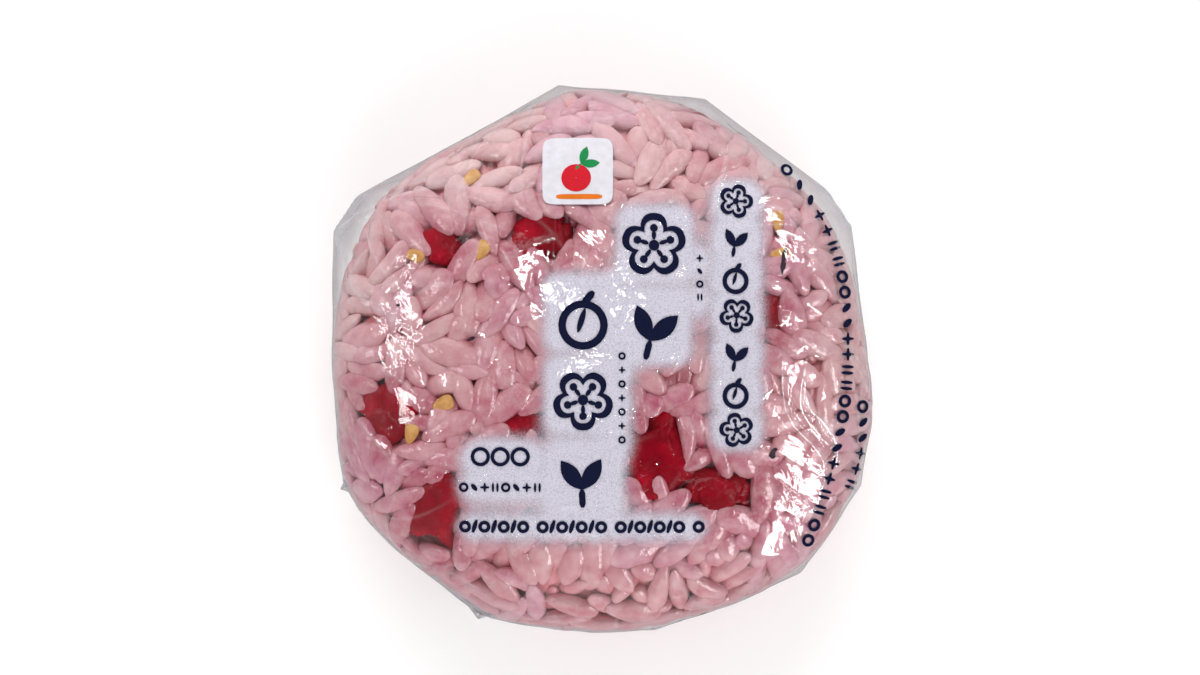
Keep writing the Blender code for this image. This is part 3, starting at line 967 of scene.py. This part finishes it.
# Leaf flecks: small ragged ovals, wavy, closed below by the same grid a leaf's thickness lower.
def makeFlecks(places, material):
    n, look = fleckLook["cells"], fleckLook
    share, turn = squareOnDisc(n)
    a, b = share * np.cos(turn), share * np.sin(turn)
    rows = np.arange((n + 1) ** 2).reshape(n + 1, n + 1)
    top = gridQuads(rows, True)
    rim = np.concatenate([rows[0, :], rows[1:, -1], rows[-1, -2::-1], rows[-2:0:-1, 0]])
    following = np.roll(rim, -1)
    low = (n + 1) ** 2
    wall = np.stack([rim, rim + low, following + low, following], axis=-1)
    quads = np.concatenate([top, top[:, ::-1] + low, wall])
    allPoints, allFaces = [], []
    for index, (spot, axes, size, slim) in enumerate(places):
        flat = np.stack([a, b * slim, 0 * a], axis=-1).reshape(-1, 3) * size / 2
        flat = flat * (1 + look["ragged"] * lumps(flat + index * 5, look["waveSize"], 80))[:, None]
        flat[:, 2] += look["wave"] * lumps(flat + index * 3, look["waveSize"], 81)
        both = np.concatenate([flat, flat - [0, 0, look["thickness"]]])
        allFaces.append(quads + index * len(both))
        allPoints.append(spot + both @ np.array(axes))
    return newMesh("shiso_flecks", np.concatenate(allPoints), [np.concatenate(allFaces)], material)


# The imported rice behind the top grains: the form inset, with bumps of a grain's size, tinted as grains are.
# At its depth that tint is mostly the deep colour, the painted shade between grains.
coreLook = {"rings": 100, "sides": 200, "inset": 2.5, "lump": 0.3, "lumpSize": 4.5, "overFloor": 1.6}


def makeCore(pieces, material):
    g = coreLook
    fall = np.linspace(0, np.pi, g["rings"])[:, None]
    ways = directionsAt(fall, np.linspace(0, 2 * np.pi, g["sides"], endpoint=False)[None, :])
    points = ways * formReach(ways, g["inset"])[..., None]
    points = points + ways * (g["lump"] * lumps(points, g["lumpSize"], 90))[..., None]
    points = points + [0, 0, riceForm["middleHeight"]]
    points[..., 2] = np.maximum(points[..., 2], riceForm["floorGap"] + g["overFloor"])
    points, faces = closedForms(points.reshape(1, -1, 3), g["rings"], g["sides"])
    tint = grainTints(points[:, None], points, pieces)[0][:, 0]
    made = newMesh("rice_core", points, [f[:, ::-1] for f in faces], material)
    setAttribute(made, "tint", tint)
    return made


# Rice colours, linear: pale where clean, pink where the juice has run, and stained beside the fruit. Deep is
# painted shade: the darker, rosier tone given to grain faces that lie down between other grains.
riceColours = {"pale": (0.72, 0.48, 0.475), "pink": (0.66, 0.32, 0.34), "rose": (0.55, 0.19, 0.225),
               "deep": (0.68, 0.15, 0.185), "lilac": (0.57, 0.24, 0.35), "halo": (0.53, 0.10, 0.21),
               "stain": (0.38, 0.02, 0.065)}
# How rosy the grains are, how far they differ one by one and in patches, how much rosier for a millimetre
# down the face and paler for one out to the sides, from what depth under the form and over how far the
# painted shade between grains comes in, and how far the fruit stains them.
riceTint = {"rosy": 0.7, "spread": 0.12, "patches": 0.14, "patchSize": 26, "downFace": 0.016,
            "toSides": 0.022, "sidesFrom": 23, "stops": (0.05, 0.55, 1.0), "paintedShadeFrom": 0.95, "paintedShadeOver": 1.3,
            "lilacSize": 18, "stainReach": 4.3, "stainPower": 1.4, "stainMost": 0.92}


# Each grain's own pink, darkened and rosier with painted shade where it lies down between grains, and stained
# by exp(-(distance from fruit / reach)^power).
def grainTints(points, middles, pieces):
    g, c = riceTint, {name: np.array(value) for name, value in riceColours.items()}
    count = len(middles)
    share = (g["rosy"] + g["spread"] * rng.normal(size=count)
             + g["patches"] * lumps(middles, g["patchSize"], 30) - g["downFace"] * middles[:, 1]
             - g["toSides"] * (np.abs(middles[:, 0]) - g["sidesFrom"]).clip(0, 14))
    # Painted shade: the deeper a point lies under the form, the more it takes the deep colour, as shade
    # between grains.
    inward = ((-formLevel(points, 0.0)[1] - g["paintedShadeFrom"]) / g["paintedShadeOver"]).clip(0, 1)[..., None] * 0.9
    lilac = 0.4 * lumps(middles, g["lilacSize"], 31) + 0.1 * rng.normal(size=count) - 0.15
    stops = np.array([c["pale"], c["pink"], c["rose"]])
    tint = np.stack([np.interp(share, g["stops"], stops[:, k]) for k in range(3)], axis=1)
    tint = (tint + (c["lilac"] - tint) * lilac.clip(0, 0.6)[:, None])[:, None]
    tint = tint + (c["deep"] - tint) * inward
    nearest = np.full(points.shape[:2], 99.0)
    for middle, axes, half in pieces:
        local = (points - middle) @ np.array(axes).T
        away = (np.linalg.norm(local / np.array(half), axis=-1) - 1) * min(half[:2])
        nearest = np.minimum(nearest, away.clip(0, None))
    stain = np.exp(-(nearest / g["stainReach"]) ** g["stainPower"])
    stain = (stain * (0.9 + 0.25 * rng.normal(size=(count, 1)))).clip(0, g["stainMost"])[..., None]
    juice = c["halo"] + (c["stain"] - c["halo"]) * stain
    return tint * (1 - stain) + juice * stain, stain[..., 0].max(axis=1)


def makeRice(name, points, tints, material):
    rings, sides = grainLook["rings"] + 2, grainLook["sides"]
    made = newMesh(name, *closedForms(points, rings, sides), material)
    setAttribute(made, "tint", closedForms(tints, rings, sides)[0])
    return made


# Lamps: degrees off straight up, degrees round from +X, roll, width and height in metres, watts, and whether
# it is a window. A window is one that only gloss shows, so it adds no soft light.
lamps = {"key": (58, 98, 0, 0.5, 0.5, 2.4, False), "fill": (55, -80, 0, 0.5, 0.5, 1.8, False),
         "right_window": (54, -26, 40, 0.11, 0.55, 9.5, True),
         "upper_right_window": (62, 34, 0, 0.06, 0.1, 0.9, True),
         "left_window": (45, 172, 30, 0.08, 0.3, 2.9, True),
         "overhead_window": (10, 100, 0, 0.045, 0.045, 0.55, True)}
lampPlace = {"distance": 0.6, "aimHeight": 0.02}


# An area light aimed at the object, turned about its own aim by the roll.
def makeLight(name, lift, turn, roll, wide, high, power, window):
    lamp = bpy.data.lights.new(name, "AREA")
    lamp.shape, lamp.size, lamp.size_y, lamp.energy = "RECTANGLE", wide, high, power
    made = bpy.data.objects.new(name, lamp)
    turned = Matrix.Rotation(math.radians(turn), 3, "Z") @ Matrix.Rotation(math.radians(lift), 3, "Y")
    made.location = turned @ Vector((0, 0, lampPlace["distance"])) + Vector((0, 0, lampPlace["aimHeight"]))
    made.rotation_euler = (turned @ Matrix.Rotation(math.radians(roll), 3, "Z")).to_euler()
    made.visible_diffuse = not window
    bpy.context.scene.collection.objects.link(made)


# Soft light from all round that is dim straight above, so that the film doesn't veil what is under it. Its
# strength is horizon + (zenith - horizon) z squared, with z the height of the direction that it comes from.
skyLook = {"horizon": 1.2, "zenith": 0.04}


def makeWorld():
    world = bpy.data.worlds.new("studio")
    world.use_nodes = True
    tree = world.node_tree
    way = addNode(tree, "ShaderNodeTexCoord").outputs["Generated"]
    rise = addNode(tree, "ShaderNodeSeparateXYZ", {"Vector": way}).outputs["Z"]
    square = mathNode(tree, "MULTIPLY", rise, rise)
    strength = addNode(tree, "ShaderNodeMapRange", {"Value": square, "To Min": skyLook["horizon"],
                                                    "To Max": skyLook["zenith"]}).outputs["Result"]
    tree.nodes["Background"].inputs["Color"].default_value = (1, 1, 1, 1)
    tree.links.new(strength, tree.nodes["Background"].inputs["Strength"])
    bpy.context.scene.world = world


def makeCamera():
    data = bpy.data.cameras.new("camera")
    made = bpy.data.objects.new("camera", data)
    bpy.context.scene.collection.objects.link(made)
    eye = pixelPoint(photo["width"] / 2, photo["height"] / 2, photo["rimHeight"])
    made.location = (eye[0] * mm, eye[1] * mm, (photo["cameraDistance"] + photo["rimHeight"]) * mm)
    data.sensor_width = 36
    data.lens = data.sensor_width * photo["cameraDistance"] / (photo["width"] / photo["pixelsPerMm"])
    bpy.context.scene.camera = made


# White paper that is lit from below as well, so that it stays bright round the object.
def floorMaterial():
    made, tree = newMaterial("pale_floor")
    finishShader(tree, {"Base Color": (0.85, 0.85, 0.85, 1), "Roughness": 0.8,
                        "Emission Color": (1, 1, 1, 1), "Emission Strength": 0.18})
    return made


def makeFloor():
    mesh = bpy.data.meshes.new("floor")
    mesh.from_pydata([(-3, -3, 0), (3, -3, 0), (3, 3, 0), (-3, 3, 0)], [], [(0, 1, 2, 3)])
    mesh.materials.append(floorMaterial())
    floor = bpy.data.objects.new("floor", mesh)
    bpy.context.scene.collection.objects.link(floor)


# A plum blossom: a five-lobed outline, five stamens with a dot at each end, and a heart.
def blossom(px, py, radius, turn, bold):
    made = [ringPatch(px, py, radius, bold, 5, 0.34, turn), dotPatch(px, py, bold * 1.5, bold * 1.5)]
    for k in range(5):
        a = math.radians(turn + 72 * k)
        c, s = math.cos(a), math.sin(a)
        made.append(dashPatch(px + c * radius * 0.2, py + s * radius * 0.2, px + c * radius * 0.5,
                              py + s * radius * 0.5, bold * 0.6))
        made.append(dotPatch(px + c * radius * 0.6, py + s * radius * 0.6, bold * 1.1, bold * 1.1))
    return made


# Two leaves on a short stalk: pointed ovals.
def leafPair(px, py, size, turn, bold):
    made = []
    for lean in (-34, 34):
        a = math.radians(turn + lean)
        c, s = math.cos(a), math.sin(a)
        made.append(dashPatch(px, py, px + c * size, py + s * size, size * 0.46, 0.96))
    back = math.radians(turn + 180)
    made.append(dashPatch(px, py, px + math.cos(back) * size * 0.5, py + math.sin(back) * size * 0.5, bold))
    return made


# A round fruit with a seam and a stalk.
def fruitMark(px, py, radius, bold):
    seam = (px + radius * 0.1, py - radius * 0.8, px - radius * 0.25, py + radius * 0.35)
    stalk = (px, py - radius, px + radius * 0.5, py - radius * 1.6)
    return [ringPatch(px, py, radius, bold), dashPatch(*seam, bold * 0.8, 0.6), dashPatch(*stalk, bold)]


# The mark rows that run down the right rim, in pixels: where they start and end, the x they bulge to and at
# which height, and how far and by which power they fall back above and below it.
rimRow = {"top": 165, "bottom": 544, "bulge": 852, "at": 345, "topBack": 60, "topPower": 2.6,
          "bottomBack": 40, "bottomPower": 1.9, "marks": 25}
outerRow = {"top": 408, "bottom": 488, "bulge": 869, "at": 430, "topBack": 1, "topPower": 2,
            "bottomBack": 12, "bottomPower": 2, "marks": 6}


# Places down a rim row, with the direction in which it runs there, in degrees.
def rimPlaces(row):
    y = np.linspace(row["top"], row["bottom"], row["marks"])

    def across(y):
        above = ((row["at"] - y) / (row["at"] - row["top"])).clip(0, None) ** row["topPower"] * row["topBack"]
        below = ((y - row["at"]) / (row["bottom"] - row["at"])).clip(0, None) ** row["bottomPower"]
        return row["bulge"] - above - below * row["bottomBack"]

    return zip(across(y), y, np.degrees(np.arctan2(2.0, across(y + 1) - across(y - 1))))


# One small mark of four kinds: a ring, two bars, a cross or a leaf shape, turned with its row.
def smallMark(px, py, turn, size, kind):
    stroke = size * 0.28

    def bar(x0, y0, x1, y1):
        x0, y0, x1, y1 = [v * size / 2 for v in (x0, y0, x1, y1)]
        start, end = turnedPatch(px, py, x0, y0, turn), turnedPatch(px, py, x1, y1, turn)
        return dashPatch(*start, *end, stroke)

    if kind == 0:
        return [ringPatch(px, py, size * 0.4, stroke)]
    if kind == 1:
        return [bar(-0.5, -1, -0.5, 1), bar(0.5, -1, 0.5, 1)]
    if kind == 2:
        return [bar(-1, 0, 1, 0), bar(0, -1, 0, 1)]
    return [dotPatch(px, py, size * 0.95, size * 0.5, turn + 50)]


# Generic marks where the film carries print, in pixels. Large ones: kind, place, size, turn and stroke. The
# column: blossoms, leaves and fruit in turn down one line. Small rows: first place, step, how many, size, and
# which kind comes first and follows. The long row has rings and slanting bars, with a gap every eighth place.
largeMarks = [("blossom", 654, 245, 29, -90, 7.2), ("leaves", 650, 341, 38, -76, 6.4),
              ("fruit", 583, 325, 21, 0, 7.6), ("blossom", 583, 400, 27, -54, 7.0),
              ("leaves", 582, 490, 36, -92, 6.4)]
markColumn = {"x": 737, "y": 200, "step": 38.4, "count": 7}
smallRows = [(700, 258, 0, 13, 4, 7, 2, 1), (622, 356, 0, 14, 7, 7, 0, 2), (463, 488, 10.6, 0, 8, 9, 0, 3)]
ringRow = {"x": 480, "y": 457, "step": 20, "count": 3, "radius": 8.0, "stroke": 3.6}
longRow = {"x": 462, "top": 521, "middle": 528, "bottom": 534, "step": 9.8, "count": 25, "gap": 8, "lean": 4,
           "bold": 4.4, "stroke": 3.6}
rimMarkSize = 12.5


def largeMark(kind, px, py, size, turn, bold):
    if kind == "blossom":
        return blossom(px, py, size, turn, bold)
    if kind == "leaves":
        return leafPair(px, py, size, turn, bold)
    return fruitMark(px, py, size, bold)


def darkMarks():
    made = []
    column, rings, long = markColumn, ringRow, longRow
    for index in range(column["count"]):
        x, y = column["x"], column["y"] + index * column["step"]
        made += largeMark(*(("blossom", x, y, 15.5, index * 31, 4.2), ("leaves", x - 2, y + 8, 20, -80, 4.0),
                            ("fruit", x - 1, y + 4, 11, 0, 4.6))[index % 3])
    for mark in largeMarks:
        made += largeMark(*mark)
    for x, y, stepX, stepY, count, size, kind, follow in smallRows:
        for index in range(count):
            made += smallMark(x + index * stepX, y + index * stepY, 0, size, (kind + index * follow) % 4)
    for index in range(rings["count"]):
        x = rings["x"] + index * rings["step"]
        made.append(ringPatch(x, rings["y"], rings["radius"], rings["stroke"]))
    for index in range(long["count"]):
        x = long["x"] + index * long["step"]
        if index % long["gap"] != long["gap"] - 1:
            made.append(dashPatch(x, long["bottom"], x + long["lean"], long["top"], long["bold"]) if index % 2
                        else ringPatch(x + long["lean"] / 2, long["middle"], long["bold"], long["stroke"]))
    for row in (rimRow, outerRow):
        for index, (x, y, turn) in enumerate(rimPlaces(row)):
            made += smallMark(x, y, turn, rimMarkSize, (index * 7 // 2) % 4)
    return made


# A rounded square: a square grid whose edge points are drawn to the outline a^8 + b^8 = 1.
def labelPatch(px, py, wide, high):
    side = np.linspace(-1, 1, 25)
    a, b = np.meshgrid(side, side)
    square = np.maximum(np.abs(a), np.abs(b)) + 1e-9
    rounded = (np.abs(a) ** 8 + np.abs(b) ** 8) ** (1 / 8) + 1e-9
    return px + a * square / rounded * wide / 2, py + b * square / rounded * high / 2


# The label: its patches, ink, colour and how far it lies over the film, in millimetres.
labelParts = {
    "label_white": ([labelPatch(577.5, 170, 71, 68)], "label_ink", (0.79, 0.77, 0.83), 0.03),
    "label_red": ([dotPatch(576, 177, 30, 28)], "red_ink", (0.66, 0.02, 0.035), 0.07),
    "label_green": (leafPair(581, 163, 19, -38, 3), "green_ink", (0.02, 0.27, 0.08), 0.07),
    "label_orange": ([dashPatch(556, 196, 602, 196, 5)], "orange_ink", (0.80, 0.19, 0.02), 0.07)}
# Loose corners of film in millimetres: where they start, their tip, how high they are and how far they curl.
flapLook = {"film_flap_low": ((-23.0, -30.0), (-9.5, -34.5), (-17.6, -37.0)),
            "film_flap_left": ((-33.0, -20.0), (-33.0, -9.5), (-37.2, -18.5)), "height": 4.4, "curl": 0.3,
            "haze": 0.42, "tipHaze": 0.2}


# A loose corner of film: at u across and v to the tip, a straight blend of its three corners that curls up.
def makeFlap(name, material):
    a, b, tip = [np.array([x, y, flapLook["height"]]) for x, y in flapLook[name]]
    u, v = np.meshgrid(np.linspace(0, 1, 15), np.linspace(0, 0.985, 19), indexing="ij")
    edge = a + (b - a) * u[..., None]
    points = edge + (tip - edge) * v[..., None]
    points[..., 2] += flapLook["curl"] * v ** 2 + 0.25 * np.sin(u * 7 + v * 3) * v
    quads = gridQuads(np.arange(u.size).reshape(u.shape))
    made = newMesh(name, points.reshape(-1, 3), [quads], material)
    setAttribute(made, "haze", (flapLook["haze"] + flapLook["tipHaze"] * v).ravel())
    setAttribute(made, "creaseAcross", 3 * np.ones(u.size))
    return made


# Every small bit: its place under the film and its axes, from a pixel and a turn or from the hidden places.
def bitPlaces(shown, under, hidden, seed, turnStep):
    bits = [(pixelOnForm(px, py, under), axesAt(pixelOnForm(px, py, 0.0), turn), *size)
            for px, py, turn, *size in shown]
    for index, place in enumerate(spreadPlaces(hiddenBits[hidden], hiddenBits["highest"], seed)):
        size = hiddenBits["fleck"] if hidden == "flecks" else ()
        bits.append((place - formLevel(place, 0.0)[0] * under, axesAt(place, index * turnStep), *size))
    return bits


group = moistGroup()
pieces = fruitList()
seeds = bitPlaces(seedPlaces, seedLook["under"], "seeds", 1, 47)
flecks = bitPlaces(fleckPlaces, fleckLook["under"], "flecks", 2, 61)

balls, ballSizes = fruitBalls(pieces)
seedBalls = np.array([top - axes[2] * 0.7 + axes[0] * step for top, axes in seeds for step in (-0.8, 0.2)])
balls = np.concatenate([balls, seedBalls])
ballSizes = np.concatenate([ballSizes, np.full(len(seedBalls), 0.75)])
middles, heading = packGrains(balls, ballSizes)

rawPoints = pressUnderFilm(grainPoints(middles, heading))
tints, stained = grainTints(rawPoints, middles, pieces)
ricePaint = foodMaterial("cooked_rice", group, riceFinish)
plainGrains = stained < 0.25
rice = makeRice("rice_grains", rawPoints[plainGrains], tints[plainGrains], ricePaint)
stainedRice = makeRice("stained_rice_grains", rawPoints[~plainGrains], tints[~plainGrains], ricePaint)
core = makeCore(pieces, ricePaint)
fruit = makeFruit(pieces, foodMaterial("pickled_fruit_flesh", group, fruitFinish))
sesame = makeSeeds(seeds, foodMaterial("toasted_sesame", group, seedFinish))
leaf = makeFlecks(flecks, foodMaterial("shiso_leaf", group, leafFinish))
report("contents made")

joined = bpy.data.meshes.new("contents")
bm = bmesh.new()
for piece in (rice, stainedRice, core, fruit, sesame):
    bm.from_mesh(piece.data)
    bm.from_mesh(piece.data)
bm.to_mesh(joined)
bm.free()
target = bpy.data.objects.new("contents", joined)
bpy.context.scene.collection.objects.link(target)
filmPaint = filmMaterial()
film, filmPoints, filmQuads = makeFilm(target, filmPaint)
bpy.data.objects.remove(target)
report("film drawn over the rice")

whiteInk = makeWhiteInk(filmPoints, filmQuads, whiteInkMaterial())
navyInk = layOnFilm("ink_navy", darkMarks(), film, inkMaterial("navy_ink", (0.008, 0.01, 0.035)), -0.05)
label = [layOnFilm(name, patches, film, inkMaterial(ink, colour), -over)
         for name, (patches, ink, colour, over) in labelParts.items()]
flaps = [makeFlap("film_flap_low", filmPaint), makeFlap("film_flap_left", filmPaint)]
report("inks and flaps made")

for piece in (rice, stainedRice, core, fruit, sesame, leaf, film, whiteInk, navyInk, *label, *flaps):
    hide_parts("wrapped_rice_ball")

makeCamera()
makeFloor()
for name, settings in lamps.items():
    makeLight(name, *settings)
makeWorld()
bpy.context.scene.view_settings.view_transform = "Standard"
